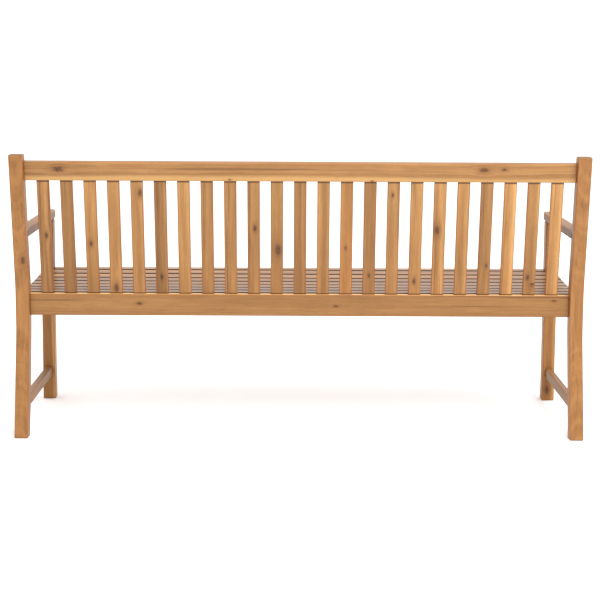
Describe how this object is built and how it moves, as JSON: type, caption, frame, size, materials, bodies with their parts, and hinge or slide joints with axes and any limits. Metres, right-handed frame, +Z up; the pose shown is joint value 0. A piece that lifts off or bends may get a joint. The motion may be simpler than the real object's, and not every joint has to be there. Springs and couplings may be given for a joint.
{
  "type": "garden bench",
  "caption": "Wooden garden bench with dog-leg rear posts, a leaning slatted back, flat arms, low side stretchers and a dished seat of lengthwise slats.",
  "frame": {"origin": "on the ground under the middle of the bench, centre of the bounding box's bottom face", "axes": "+X along the bench, to the right when seen from the front; +Y towards the back; +Z up"},
  "size_m": [1.8, 0.6286, 0.9],
  "materials": {
    "post_wood": "oiled satin, medium golden brown with straight grain",
    "rail_wood": "oiled satin, golden brown with a pale sapwood edge and small knots",
    "slat_wood": "oiled satin, pale to mid brown from board to board",
    "dowel_wood": "plain turned hardwood",
    "steel": "stainless, satin"
  },
  "bodies": {
    "root": {"rear_post_left": "post_wood", "rear_post_right": "post_wood", "front_leg_left": "post_wood", "front_leg_right": "post_wood", "arm_left": "rail_wood", "arm_right": "rail_wood", "side_rail_left": "rail_wood", "side_rail_right": "rail_wood", "stretcher_left": "rail_wood", "stretcher_right": "rail_wood", "rear_seat_rail": "rail_wood", "top_rail": "rail_wood", "front_apron": "rail_wood", "bearer_left": "rail_wood", "bearer_right": "rail_wood", "seat_slat_1": "slat_wood", "seat_slat_2": "slat_wood", "seat_slat_3": "slat_wood", "seat_slat_4": "slat_wood", "seat_slat_5": "slat_wood", "seat_slat_6": "slat_wood", "seat_slat_7": "slat_wood", "seat_slat_8": "slat_wood", "back_slat_01": "slat_wood", "back_slat_02": "slat_wood", "back_slat_03": "slat_wood", "back_slat_04": "slat_wood", "back_slat_05": "slat_wood", "back_slat_06": "slat_wood", "back_slat_07": "slat_wood", "back_slat_08": "slat_wood", "back_slat_09": "slat_wood", "back_slat_10": "slat_wood", "back_slat_11": "slat_wood", "back_slat_12": "slat_wood", "back_slat_13": "slat_wood", "back_slat_14": "slat_wood", "back_slat_15": "slat_wood", "back_slat_16": "slat_wood", "back_slat_17": "slat_wood", "back_slat_18": "slat_wood", "back_slat_19": "slat_wood", "back_slat_20": "slat_wood", "back_slat_21": "slat_wood", "back_slat_22": "slat_wood", "back_slat_23": "slat_wood", "frame_bolts": "steel", "bolt_washers": "steel", "barrel_nuts": "steel", "seat_screws": "steel", "frame_dowels": "dowel_wood"}
  },
  "joints": []
}
